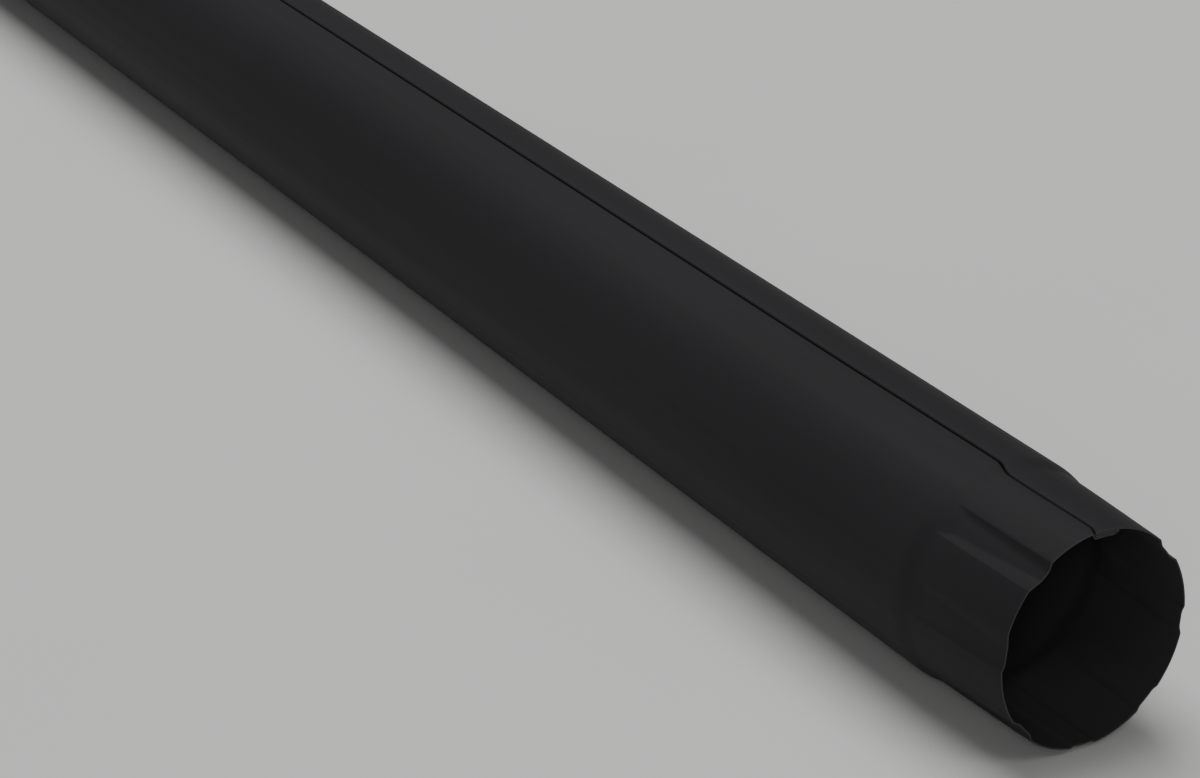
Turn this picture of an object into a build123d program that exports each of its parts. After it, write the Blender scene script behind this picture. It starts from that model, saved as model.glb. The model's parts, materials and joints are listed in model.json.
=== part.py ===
import os
from itertools import pairwise
from math import acos, asin, atan2, cos, degrees, radians, sin

from build123d import *

# A round sheet-metal downpipe. One strip of sheet is rolled into a tube, its two edges are
# hooked into each other as a lock seam inside the wall, and one end is reduced and fluted into
# a spigot that slides into the plain end of the next pipe.
# The origin is on the axis at the plain end, +X runs along the pipe to the spigot, +Z is up.
# Angles in the section run from +Z toward +Y, in degrees. All sizes are in millimetres.

# Tube
length = 1000.0
body_radius = 43.5
sheet = 0.6

# Spigot, with the radius of its crests
spigot_radius = 41.9
spigot_length = 48.0
cone_length = 8.0

# Flutes, set out at equal steps with the seam in the place of one of them
flute_count = 7
flute_depth = 1.7
flute_floor = 5.0
flute_corner_radius = 1.2
flute_hollow_radius = 3.25

# Lock seam, placed by the groove that it leaves on the outside
groove_angle = -2.3
groove_corner_radius = 0.8
seam_gap = 0.1
seam_hook = 7.0

# Derived sizes
cone_start = length - spigot_length - cone_length
spigot_start = length - spigot_length
fold_radius = 1.5 * sheet + seam_gap
pocket_angle = groove_angle + degrees((fold_radius + seam_hook / 2) / body_radius)
flute_pitch = 360 / (flute_count + 1)
flute_angles = [pocket_angle + flute_pitch * step for step in range(1, flute_count + 1)]

# Half a flute: from its middle outward a floor, a hollow and a corner, which meet tangentially
floor_radius = spigot_radius - flute_depth
hollow_distance = floor_radius + flute_hollow_radius
corner_distance = spigot_radius - flute_corner_radius
centre_gap = flute_hollow_radius + flute_corner_radius
floor_spread = degrees(flute_floor / 2 / floor_radius)
ramp_cosine = (hollow_distance**2 + corner_distance**2 - centre_gap**2) / (
    2 * hollow_distance * corner_distance
)
ramp_spread = degrees(acos(ramp_cosine))
flute_spread = floor_spread + ramp_spread
corner_turn = degrees(asin(hollow_distance * sin(radians(ramp_spread)) / centre_gap))
hollow_turn = corner_turn - ramp_spread
hollow_edge = floor_spread + degrees(
    atan2(
        flute_hollow_radius * sin(radians(hollow_turn)),
        hollow_distance - flute_hollow_radius * cos(radians(hollow_turn)),
    )
)

axis_point = Vector(0, 0)


def polar(radius, angle):
    """Point of the section at a radius and an angle."""
    return Vector(radius * sin(radians(angle)), radius * cos(radians(angle)))


def arc(centre, radius, start, end):
    """Arc about a centre from one angle to another."""
    middle = (start + end) / 2
    return ThreePointArc(*[centre + polar(radius, angle) for angle in (start, middle, end)])


def flute(middle, inset):
    """Corner, hollow, floor, hollow and corner of one flute."""
    left = middle - floor_spread
    right = middle + floor_spread
    left_corner = polar(corner_distance, middle - flute_spread)
    right_corner = polar(corner_distance, middle + flute_spread)
    left_hollow = polar(hollow_distance, left)
    right_hollow = polar(hollow_distance, right)
    corner = flute_corner_radius - inset
    hollow = flute_hollow_radius + inset
    return [
        arc(left_corner, corner, middle - flute_spread, left + hollow_turn),
        arc(left_hollow, hollow, left + 180 + hollow_turn, left + 180),
        arc(axis_point, floor_radius - inset, left, right),
        arc(right_hollow, hollow, right + 180, right + 180 - hollow_turn),
        arc(right_corner, corner, right - hollow_turn, middle + flute_spread),
    ]


def plain_flute(middle, radius):
    """The same five stretches where the wall is still round."""
    half = (floor_spread, hollow_edge, flute_spread)
    stops = [*(-stop for stop in reversed(half)), *half]
    return [arc(axis_point, radius, middle + start, middle + end) for start, end in pairwise(stops)]


def wall(start, end, radius, inset, fluted):
    """Wall of the tube, the long way round from one side of the seam to the other."""
    stretches = []
    for middle in flute_angles:
        stretches.append(arc(axis_point, radius - inset, start, middle - flute_spread))
        stretches += flute(middle, inset) if fluted else plain_flute(middle, radius - inset)
        start = middle + flute_spread
    stretches.append(arc(axis_point, radius - inset, start, end))
    return stretches


def sheet_face(radius, inset, fluted):
    """One face of the sheet, from its hooked edge round the tube to its other hooked edge."""
    groove_half = fold_radius + seam_gap / 2
    left = groove_angle + degrees(asin(groove_half / radius))
    right = left + degrees(seam_hook / radius)
    outer_fold = polar(radius - fold_radius, left)
    inner_fold = polar(radius - fold_radius - sheet - seam_gap, right)
    nest_radius = fold_radius + seam_gap + inset

    # The rounded step down beside the groove stands clear of the outer fold
    step_distance = radius - groove_corner_radius
    step_offset = fold_radius + seam_gap + groove_corner_radius
    step_angle = left - degrees(asin(step_offset / step_distance))
    step_corner = polar(step_distance, step_angle)
    corner = groove_corner_radius - inset
    step_top = step_corner + polar(corner, left + 90)
    step_foot = outer_fold + polar(nest_radius, left - 90)

    return [
        arc(axis_point, radius - 2 * fold_radius + inset, right, left),
        arc(outer_fold, fold_radius - inset, left - 180, left),
        *wall(left, step_angle + 360, radius, inset, fluted),
        arc(step_corner, corner, step_angle, left + 90),
        Line(step_top, step_foot),
        arc(outer_fold, nest_radius, left - 90, left - 180),
        arc(axis_point, radius - 2 * fold_radius - seam_gap - inset, left, right),
        arc(inner_fold, fold_radius - sheet + inset, right + 180, right),
        arc(axis_point, radius - 2 * sheet - seam_gap + inset, right, left),
    ]


def sheet_outline(radius, fluted):
    """Closed outline of the folded sheet: its outer face, its inner face and its two cut edges."""
    outer = sheet_face(radius, 0, fluted)
    inner = sheet_face(radius, sheet, fluted)
    first_cut = Line(inner[0] @ 0, outer[0] @ 0)
    last_cut = Line(outer[-1] @ 1, inner[-1] @ 1)
    return [*outer, last_cut, *reversed(inner), first_cut]


# The cone's two ends keep the same edges, so that each stretch of wall runs into its own flute
round_end = Plane.YZ.offset(cone_start) * Face(Wire(sheet_outline(body_radius, False)))
fluted_end = Plane.YZ.offset(spigot_start) * Face(Wire(sheet_outline(spigot_radius, True)))

with BuildPart() as downpipe:
    # Round body, open at the plain end
    with BuildSketch(Plane.YZ):
        with BuildLine():
            sheet_outline(body_radius, False)
        make_face()
    extrude(amount=cone_start)

    # Cone in which the wall steps in and the flutes begin
    loft([round_end, fluted_end], ruled=True)

    # Fluted spigot
    with BuildSketch(Plane.YZ.offset(spigot_start)):
        with BuildLine():
            sheet_outline(spigot_radius, True)
        make_face()
    extrude(amount=spigot_length)

downpipe.part.label = "downpipe"

os.makedirs("parts", exist_ok=True)
export_step(downpipe.part, "parts/downpipe.step")
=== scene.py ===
import json
from itertools import pairwise
from math import acos, asin, cos, degrees, pi, radians, sin

import bmesh
import bpy
import numpy as np
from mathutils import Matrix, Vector


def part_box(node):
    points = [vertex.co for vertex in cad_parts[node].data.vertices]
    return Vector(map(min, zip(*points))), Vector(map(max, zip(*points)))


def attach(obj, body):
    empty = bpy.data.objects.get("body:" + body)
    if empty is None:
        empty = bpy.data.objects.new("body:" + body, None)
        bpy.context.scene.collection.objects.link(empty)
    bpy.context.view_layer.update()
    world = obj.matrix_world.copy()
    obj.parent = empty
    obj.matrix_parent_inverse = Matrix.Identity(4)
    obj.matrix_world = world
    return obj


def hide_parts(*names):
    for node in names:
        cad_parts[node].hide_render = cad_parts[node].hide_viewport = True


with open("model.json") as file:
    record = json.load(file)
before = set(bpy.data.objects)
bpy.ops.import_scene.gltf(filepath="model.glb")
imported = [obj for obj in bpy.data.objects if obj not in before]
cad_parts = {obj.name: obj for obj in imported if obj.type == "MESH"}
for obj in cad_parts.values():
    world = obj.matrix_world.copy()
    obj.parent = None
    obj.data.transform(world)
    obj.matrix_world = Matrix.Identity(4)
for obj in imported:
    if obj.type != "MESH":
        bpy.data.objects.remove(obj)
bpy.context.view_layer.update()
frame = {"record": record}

# The pipe runs along +X from its plain end to its spigot and lies on the floor with the seam on
# top. Sizes are in millimetres, and MM turns them into the scene's metres. Angles in the section
# run from +Z toward +Y, in degrees.
MM = 0.001

# Sizes that the frame gives
mounts = {mount["name"]: mount for mount in frame["record"]["mounts"]}
_, pipe_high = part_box("downpipe")
LENGTH = pipe_high[0] / MM
BODY_RADIUS = mounts["pipe_body"]["dims"]["r_mm"]
SPIGOT_RADIUS = mounts["spigot"]["dims"]["r_mm"]
SPIGOT_START = LENGTH - mounts["spigot"]["dims"]["length_mm"]

# Sheet and lock seam. Away from the groove its layers end on a slant, by so much for each
# millimetre that a layer lies deeper.
SHEET = 0.6
SEAM_GAP = 0.1
SEAM_HOOK = 7.0
SEAM_SLANT = 1.2
GROOVE_ANGLE = -1.6
GROOVE_GAP = 0.75
GROOVE_GAP_AT_SPIGOT = 0.2
GROOVE_CORNER_RADIUS = 1.0
FOLD_RADIUS = 1.5 * SHEET + SEAM_GAP

# The crimping tool pushed the seam sideways: it drifts one way up to the ring, jogs back across
# it and straightens again toward the rim. Just before the rim it veers once more and gets wider.
SEAM_DRIFT = 1.0
SEAM_DRIFT_LENGTH = 120.0
SEAM_JOG = -2.45
SEAM_JOG_LENGTH = 8.5
SEAM_RETURN = 0.9
SEAM_VEER = -2.4
SEAM_SPREAD = 3.0
SEAM_SPREAD_LENGTH = 5.0

# Ring in which the wall steps in, with soft ends, and the spigot's slight taper to its rim
RING_START = SPIGOT_START - 9.0
RING_LENGTH = 10.0
SPIGOT_TAPER = 0.7

# The spigot was pressed a little oval: up to its rim it gets narrower and slightly higher, by these
# shares of its size
RIM_NARROWING = 0.055
RIM_HEIGHTENING = 0.007

# Flutes at equal steps round from the middle of the seam, which has the place of one of them. They
# came off the crimping tool unevenly: each stands off its even place by its own angle, and has its
# own width across the corners, its own depth at the rim and the slopes of its two sides.
SEAM_MIDDLE = 3.6
FLUTES = (
    (1.8, 13.0, 1.4, 34, 24),
    (1.2, 11.0, 1.3, 36, 26),
    (0.0, 12.2, 1.0, 28, 28),
    (-0.8, 12.2, 0.9, 28, 28),
    (-0.8, 13.6, 1.6, 32, 30),
    (4.5, 14.5, 1.3, 32, 14),
    (0.8, 13.2, 2.1, 21, 40),
)
FLUTE_PITCH = 360 / (len(FLUTES) + 1)
FLUTE_CORNER_RADIUS = 1.1
FLUTE_HOLLOW_RADIUS = 4.5
FLUTE_START = SPIGOT_START - 3.0
FLUTE_RUN_IN = 10.0
FLUTE_DEPTH_AT_START = 0.4

# The sides of a shallow flute are less steep, so that some of the ramp is left between its corner
# and its hollow. Where it is shallower than a least share of its depth, it only gets flatter.
STEEPEST_SHARE = 0.9
LEAST_SHAPED_SHARE = 0.25

# Rounding that the shears leave on the cut edges at both ends
EDGE_ROUND = 0.12

# Points of the mesh along the stretches of the section
LAYER_POINTS = 6
LOWEST_LAYER_POINTS = 8
OUTER_FOLD_POINTS = 12
INNER_FOLD_POINTS = 10
BEND_POINTS = 7
CREST_POINTS = 11
FLUTE_SIDE_POINTS = 5
FLUTE_FLOOR_POINTS = 3

# Stations of the mesh along the pipe: start, end and number on the body, and start, end and step
# round the ring, where they are closer together
BODY_STATIONS = (20.0, RING_START - 10.0, 24)
RING_STATIONS = (RING_START - 4.0, FLUTE_START + FLUTE_RUN_IN + 1.0, 0.75)
SPIGOT_STEP = 2.0
SPIGOT_STATIONS_END = LENGTH - 0.5
EDGE_STATIONS = 4

# Angle in degrees from which a bend of the mesh is shaded as an edge
EDGE_ANGLE = 50

# Camera, where the photograph was taken from. The rim's centre is what its place is measured from.
PHOTO_WIDTH = 1200
FOCAL_PIXELS = 3299.1
SENSOR_WIDTH = 36.0
CAMERA_FROM_RIM = Vector((0.7476, -0.6393, 0.5606))
CAMERA_DIRECTION = Vector((-0.7745, 0.4606, -0.4336))

# Studio, in metres: the floor, and each light's place, the point that it faces, its size and its
# power in watts
FLOOR_SIZE = 12
LIGHTS = {
    "top_light": ((-1.1, 0.4, 4.6), (0.6, 0, 0), 4.0, 198),
    "front_light": ((-4.0, -4.0, 1.2), (0.7, 0, 0), 2.0, 13.5),
    "mouth_light": ((2.95, -1.5, 1.33), (1.0, 0, 0), 0.7, 11),
    "rim_light": ((2.7, 0.5, 2.3), (1.0, 0, 0), 1.2, 8),
}
SURROUND_STRENGTH = 0.10


def ease(value, start, length):
    """Rises softly from 0 to 1 over a length."""
    share = min(max((value - start) / length, 0.0), 1.0)
    return share * share * (3 - 2 * share)


def quickening(value, start, length):
    """Rises from 0 to 1 over a length, faster and faster."""
    return 2 * ease(value, start, 2 * length)


def crest_radius(x):
    """Outside radius of the round wall and of the crests between the flutes."""
    tapered = SPIGOT_RADIUS + SPIGOT_TAPER * (0.5 - (x - SPIGOT_START) / (LENGTH - SPIGOT_START))
    return BODY_RADIUS + (tapered - BODY_RADIUS) * ease(x, RING_START, RING_LENGTH)


def flute_share(x):
    """Share of its depth that a flute has at a place: it deepens on to the rim."""
    deepening = FLUTE_DEPTH_AT_START + (1 - FLUTE_DEPTH_AT_START) * (x - FLUTE_START) / (
        LENGTH - FLUTE_START
    )
    return deepening * ease(x, FLUTE_START, FLUTE_RUN_IN)


def seam_spread(x):
    """Share of its last veer and widening that the seam has at a place, growing up to the rim."""
    return quickening(x, LENGTH - SEAM_SPREAD_LENGTH, SEAM_SPREAD_LENGTH)


def groove_angle(x):
    """Angle of the groove, which walks a little near the spigot and on it."""
    drift = SEAM_DRIFT * ease(x, RING_START - SEAM_DRIFT_LENGTH, SEAM_DRIFT_LENGTH)
    jog = SEAM_JOG * ease(x, RING_START, SEAM_JOG_LENGTH)
    back = SEAM_RETURN * ease(x, SPIGOT_START, LENGTH - SPIGOT_START)
    return GROOVE_ANGLE + drift + jog + back + SEAM_VEER * seam_spread(x)


def groove_gap(x):
    """How far the groove stands open, which is less where the tool has pressed it together."""
    return GROOVE_GAP + (GROOVE_GAP_AT_SPIGOT - GROOVE_GAP) * ease(x, RING_START, RING_LENGTH)


def polar(radius, angles):
    """Points of the section, as (y, z) rows, at a radius and at angles."""
    turns = np.radians(angles)
    return np.stack([radius * np.sin(turns), radius * np.cos(turns)], axis=-1)


def arc(centre, radius, start, end, steps):
    """Points along an arc about a centre, without its last one."""
    return centre + polar(radius, np.linspace(start, end, steps, endpoint=False))


def flute_side(width, depth, slope):
    """Distances from a flute's middle, and how deep it is there: corner, ramp, hollow and floor."""
    reach = FLUTE_CORNER_RADIUS + FLUTE_HOLLOW_RADIUS
    turn = min(radians(slope), STEEPEST_SHARE * acos(1 - depth / reach))
    turns = np.linspace(0, turn, FLUTE_SIDE_POINTS)
    ramp_length = (depth - reach * (1 - cos(turn))) / sin(turn)
    floor_half = width / 2 - reach * sin(turn) - ramp_length * cos(turn)
    corner = width / 2 - FLUTE_CORNER_RADIUS * np.sin(turns)
    corner_drop = FLUTE_CORNER_RADIUS * (1 - np.cos(turns))
    hollow = floor_half + FLUTE_HOLLOW_RADIUS * np.sin(turns)[::-1]
    hollow_drop = depth - FLUTE_HOLLOW_RADIUS * (1 - np.cos(turns))[::-1]
    ramp = np.linspace(corner[-1], hollow[0], FLUTE_SIDE_POINTS)[1:-1]
    ramp_drop = np.linspace(corner_drop[-1], hollow_drop[0], FLUTE_SIDE_POINTS)[1:-1]
    floor = np.linspace(floor_half, 0, FLUTE_FLOOR_POINTS)[1:]
    distances = np.concatenate([corner, ramp, hollow, floor])
    drops = np.concatenate([corner_drop, ramp_drop, hollow_drop, np.full(len(floor), depth)])
    return distances, drops


def wall(start, end, x, inset):
    """The long way round from one side of the seam to the other, under one face of the sheet."""
    angles = [[start]]
    drops = [[0.0]]
    crest_start = start
    share = flute_share(x)
    shape_share = max(share, LEAST_SHAPED_SHARE)
    for number, (shift, width, depth, first_slope, last_slope) in enumerate(FLUTES, start=1):
        middle = SEAM_MIDDLE + FLUTE_PITCH * number + shift
        first, first_drops = flute_side(width, depth * shape_share, first_slope)
        last, last_drops = flute_side(width, depth * shape_share, last_slope)
        first_angles = middle - np.degrees(first / SPIGOT_RADIUS)
        last_angles = middle + np.degrees(last / SPIGOT_RADIUS)
        crest = np.linspace(crest_start, first_angles[0], CREST_POINTS)[1:-1]
        angles += [crest, first_angles, last_angles[::-1][1:]]
        drops += [np.zeros(len(crest)), first_drops, last_drops[::-1][1:]]
        crest_start = last_angles[0]
    last_crest = np.linspace(crest_start, end, CREST_POINTS)[1:]
    angles.append(last_crest)
    drops.append(np.zeros(len(last_crest)))
    radii = crest_radius(x) - share / shape_share * np.concatenate(drops)
    face = polar(radii, np.concatenate(angles))
    travelled = np.concatenate([[0], np.cumsum(np.linalg.norm(np.diff(face, axis=0), axis=1))])
    along = np.gradient(face, travelled, axis=0, edge_order=2)
    along /= np.linalg.norm(along, axis=1, keepdims=True)
    outward = np.stack([-along[:, 1], along[:, 0]], axis=-1)
    return (face - outward * inset)[:-1]


def slanted(points, radius, left, right):
    """Points of a hook of the seam, in which the layers under the outside one end on a slant."""
    radii = np.linalg.norm(points, axis=1)
    angles = np.degrees(np.arctan2(points[:, 0], points[:, 1]))
    depths = np.maximum(radius - SHEET - radii, 0)
    shares = np.clip((angles - left) / (right - left), 0, 1) ** 2
    return polar(radii, angles - np.degrees(SEAM_SLANT * depths * shares / radii))


def sheet_face(x, inset):
    """One face of the sheet at a place along the pipe, from hooked edge to hooked edge."""
    radius = crest_radius(x)
    groove_half = FOLD_RADIUS + (SEAM_GAP + groove_gap(x)) / 2
    left = groove_angle(x) + degrees(asin(groove_half / radius))
    right = left + degrees((SEAM_HOOK + SEAM_SPREAD * seam_spread(x)) / radius)
    nest = left - degrees(groove_gap(x) / radius)
    axis_point = np.zeros(2)
    outer_fold = polar(radius - FOLD_RADIUS, left)
    inner_fold = polar(radius - FOLD_RADIUS - SHEET - SEAM_GAP, right)
    nest_centre = polar(radius - FOLD_RADIUS, nest)
    nest_radius = FOLD_RADIUS + SEAM_GAP + inset

    # The rounded step down beside the groove stands clear of the outer fold
    step_distance = radius - GROOVE_CORNER_RADIUS
    step_offset = FOLD_RADIUS + SEAM_GAP + GROOVE_CORNER_RADIUS
    step_angle = nest - degrees(asin(step_offset / step_distance))
    step_corner = polar(step_distance, step_angle)
    corner = GROOVE_CORNER_RADIUS - inset

    lip = radius - 2 * FOLD_RADIUS
    last_point = polar(radius - 2 * SHEET - SEAM_GAP + inset, left)
    first_hook = [
        arc(axis_point, lip + inset, right, left, LAYER_POINTS),
        arc(outer_fold, FOLD_RADIUS - inset, left - 180, left, OUTER_FOLD_POINTS),
    ]
    last_hook = [
        arc(axis_point, lip - SEAM_GAP - inset, nest, right, LOWEST_LAYER_POINTS),
        arc(inner_fold, FOLD_RADIUS - SHEET + inset, right + 180, right, INNER_FOLD_POINTS),
        arc(axis_point, radius - 2 * SHEET - SEAM_GAP + inset, right, left, LAYER_POINTS),
        [last_point],
    ]
    return np.concatenate([
        slanted(np.concatenate(first_hook), radius, left, right),
        wall(left, step_angle + 360, x, inset),
        arc(step_corner, corner, step_angle, nest + 90, BEND_POINTS),
        arc(nest_centre, nest_radius, nest - 90, nest - 180, BEND_POINTS),
        slanted(np.concatenate(last_hook), radius, left, right),
    ])


def stations():
    """Places along the pipe, each with how far the sheet's faces are trimmed back there."""
    rounding = [
        (EDGE_ROUND * (1 - sin(turn)), EDGE_ROUND * (1 - cos(turn)))
        for turn in np.linspace(0, pi / 2, EDGE_STATIONS)
    ]
    body = np.linspace(*BODY_STATIONS)
    ring = np.arange(*RING_STATIONS)
    spigot = np.arange(ring[-1] + SPIGOT_STEP, SPIGOT_STATIONS_END, SPIGOT_STEP)
    return [
        *((depth, trim) for depth, trim in reversed(rounding)),
        *((x, 0.0) for x in (*body, *ring, *spigot)),
        *((LENGTH - depth, trim) for depth, trim in rounding),
    ]


def squeeze(x):
    """Factors for the section's width and height at a place, which are one on the round body."""
    share = quickening(x, RING_START, LENGTH - RING_START)
    return np.array([1 - RIM_NARROWING * share, 1 + RIM_HEIGHTENING * share])


def pipe_mesh():
    """The folded sheet, swept along the pipe and closed by its cut edges at both ends."""
    outside, inside, cut = range(3)
    places = stations()
    rings = []
    for x, trim in places:
        outer = sheet_face(x, trim)
        inner = sheet_face(x, SHEET - trim)
        section = np.concatenate([outer, inner[::-1]]) * squeeze(x)
        rings.append(np.insert(section, 0, x, axis=1))
    around = len(rings[0])
    half = around // 2
    vertices = np.concatenate(rings) * MM

    faces = []
    slots = []
    for station, ((_, first_trim), (_, second_trim)) in enumerate(pairwise(places)):
        near, far = station * around, (station + 1) * around
        for point in range(around):
            following = (point + 1) % around
            faces.append((near + point, near + following, far + following, far + point))
            on_edge = first_trim > 0 or second_trim > 0 or point in (half - 1, around - 1)
            slots.append(cut if on_edge else outside if point < half - 1 else inside)
    for base in (0, (len(places) - 1) * around):
        for point in range(half - 1):
            mirrored = around - 1 - point
            faces.append((base + point, base + point + 1, base + mirrored - 1, base + mirrored))
            slots.append(cut)

    mesh = bpy.data.meshes.new("sheet_pipe")
    mesh.from_pydata(vertices.tolist(), [], faces)
    mesh.polygons.foreach_set("material_index", slots)
    shell = bmesh.new()
    shell.from_mesh(mesh)
    bmesh.ops.recalc_face_normals(shell, faces=shell.faces)
    shell.to_mesh(mesh)
    shell.free()
    mesh.polygons.foreach_set("use_smooth", [True] * len(mesh.polygons))
    mesh.set_sharp_from_angle(angle=radians(EDGE_ANGLE))
    return mesh


def shader(name, color, roughness, specular):
    """Material with a Principled shader, and its tree, shader and object coordinates."""
    material = bpy.data.materials.new(name)
    material.use_nodes = True
    tree = material.node_tree
    surface = tree.nodes["Principled BSDF"]
    surface.inputs["Base Color"].default_value = (*color, 1)
    surface.inputs["Roughness"].default_value = roughness
    surface.inputs["Specular IOR Level"].default_value = specular
    place = tree.nodes.new("ShaderNodeTexCoord").outputs["Object"]
    return material, tree, surface, place


def noise(tree, place, per_metre, stretch=(1, 1, 1), detail=2.0):
    """Noise of a number of spots a metre, drawn out along an axis by a small stretch there."""
    mapping = tree.nodes.new("ShaderNodeMapping")
    mapping.inputs["Scale"].default_value = [per_metre * factor for factor in stretch]
    tree.links.new(place, mapping.inputs["Vector"])
    texture = tree.nodes.new("ShaderNodeTexNoise")
    texture.inputs["Scale"].default_value = 1.0
    texture.inputs["Detail"].default_value = detail
    tree.links.new(mapping.outputs["Vector"], texture.inputs["Vector"])
    return texture.outputs["Fac"]


def between(tree, factor, low, high):
    """Turns noise into a number between two values."""
    spread = tree.nodes.new("ShaderNodeMapRange")
    spread.inputs["From Min"].default_value = 0.3
    spread.inputs["From Max"].default_value = 0.7
    spread.inputs["To Min"].default_value = low
    spread.inputs["To Max"].default_value = high
    tree.links.new(factor, spread.inputs["Value"])
    return spread.outputs["Result"]


def mixed(tree, factor, first, second):
    """Turns noise into a colour between two."""
    ramp = tree.nodes.new("ShaderNodeValToRGB")
    for element, position, color in zip(ramp.color_ramp.elements, (0.35, 0.65), (first, second)):
        element.position = position
        element.color = (*color, 1)
    tree.links.new(factor, ramp.inputs["Fac"])
    return ramp.outputs["Color"]


def relief(tree, surface, heights):
    """Bumps one after the other on a surface, each of a height in metres."""
    normal = None
    for height, factor in heights:
        bump = tree.nodes.new("ShaderNodeBump")
        bump.inputs["Strength"].default_value = 1.0
        bump.inputs["Distance"].default_value = height
        tree.links.new(factor, bump.inputs["Height"])
        if normal is not None:
            tree.links.new(normal, bump.inputs["Normal"])
        normal = bump.outputs["Normal"]
    tree.links.new(normal, surface.inputs["Normal"])


def coated_sheet():
    """Satin near-black coating on the outside, with orange peel and faint rolling lines."""
    material, tree, surface, place = shader("coated_sheet", (0.0247, 0.0247, 0.0268), 0.62, 0.10)
    patches = noise(tree, place, per_metre=9.0, stretch=(0.5, 1, 1))
    rolling = noise(tree, place, per_metre=260.0, stretch=(0.006, 1, 1), detail=3.0)
    peel = noise(tree, place, per_metre=900.0, detail=1.0)
    color = mixed(tree, patches, (0.0234, 0.0234, 0.0254), (0.026, 0.026, 0.0282))
    tree.links.new(color, surface.inputs["Base Color"])
    tree.links.new(between(tree, rolling, 0.58, 0.66), surface.inputs["Roughness"])
    relief(tree, surface, [(0.000004, rolling), (0.000006, peel)])
    return material


def back_coat_with_painted_light():
    """Duller coating inside the pipe, with painted light: the same black coat made about twice as
    light as the outside one, so that the shaded inside looks lit.
    """
    # Painted light: these colours are lighter than the outside coat's, standing in for light in the
    # pipe's shaded inside
    material, tree, surface, place = shader("back_coat_with_painted_light", (0.056, 0.056, 0.056), 0.7, 0.10)
    patches = noise(tree, place, per_metre=14.0, stretch=(0.3, 1, 1))
    rolling = noise(tree, place, per_metre=240.0, stretch=(0.006, 1, 1), detail=3.0)
    color = mixed(tree, patches, (0.052, 0.052, 0.052), (0.060, 0.060, 0.060))
    tree.links.new(color, surface.inputs["Base Color"])
    tree.links.new(between(tree, rolling, 0.65, 0.75), surface.inputs["Roughness"])
    relief(tree, surface, [(0.000005, rolling)])
    return material


def cut_edge():
    """Sheared edge, on which the steel shows between the two coats."""
    material, tree, surface, place = shader("cut_edge", (0.041, 0.041, 0.04), 0.55, 0.3)
    grain = noise(tree, place, per_metre=1800.0, detail=3.0)
    color = mixed(tree, grain, (0.032, 0.032, 0.031), (0.05, 0.05, 0.048))
    tree.links.new(color, surface.inputs["Base Color"])
    tree.links.new(between(tree, grain, 0.5, 0.65), surface.inputs["Roughness"])
    relief(tree, surface, [(0.000008, grain)])
    return material


def pale_floor():
    """Matt pale floor, large enough to fill the view."""
    material, tree, surface, place = shader("pale_floor", (0.78, 0.78, 0.77), 0.75, 0.15)
    cloud = noise(tree, place, per_metre=3.0)
    color = mixed(tree, cloud, (0.77, 0.77, 0.76), (0.79, 0.79, 0.78))
    tree.links.new(color, surface.inputs["Base Color"])
    middle = (LENGTH * MM / 2, 0, -BODY_RADIUS * MM)
    bpy.ops.mesh.primitive_plane_add(size=FLOOR_SIZE, location=middle)
    floor = bpy.context.object
    floor.name = "floor"
    floor.data.materials.append(material)


def soft_light(name, place, target, size, power):
    """Square softbox that faces a point."""
    lamp = bpy.data.lights.new(name, "AREA")
    lamp.shape = "SQUARE"
    lamp.size = size
    lamp.energy = power
    light = bpy.data.objects.new(name, lamp)
    bpy.context.collection.objects.link(light)
    light.location = place
    facing = Vector(target) - Vector(place)
    light.rotation_euler = facing.to_track_quat("-Z", "Y").to_euler()


def studio():
    """Soft light from above, a weaker one from the front and two that reach into the mouth."""
    for name, (place, target, size, power) in LIGHTS.items():
        soft_light(name, place, target, size, power)
    world = bpy.data.worlds.new("studio")
    world.use_nodes = True
    surround = world.node_tree.nodes["Background"]
    surround.inputs["Color"].default_value = (1.0, 1.0, 1.0, 1)
    surround.inputs["Strength"].default_value = SURROUND_STRENGTH
    bpy.context.scene.world = world


def photo_camera():
    """Camera at the photograph's place, with its angle of view."""
    lens = bpy.data.cameras.new("photo_camera")
    lens.sensor_width = SENSOR_WIDTH
    lens.lens = FOCAL_PIXELS * SENSOR_WIDTH / PHOTO_WIDTH
    lens.clip_start = 0.01
    camera = bpy.data.objects.new("photo_camera", lens)
    bpy.context.collection.objects.link(camera)
    camera.location = Vector((LENGTH * MM, 0, 0)) + CAMERA_FROM_RIM
    camera.rotation_euler = CAMERA_DIRECTION.to_track_quat("-Z", "Y").to_euler()
    bpy.context.scene.camera = camera


def sheet_pipe():
    """The pipe with its three finishes, which stands for the plain one."""
    pipe = bpy.data.objects.new("sheet_pipe", pipe_mesh())
    bpy.context.collection.objects.link(pipe)
    for material in (coated_sheet(), back_coat_with_painted_light(), cut_edge()):
        pipe.data.materials.append(material)
    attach(pipe, "root")
    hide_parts("downpipe")


sheet_pipe()
pale_floor()
studio()
photo_camera()
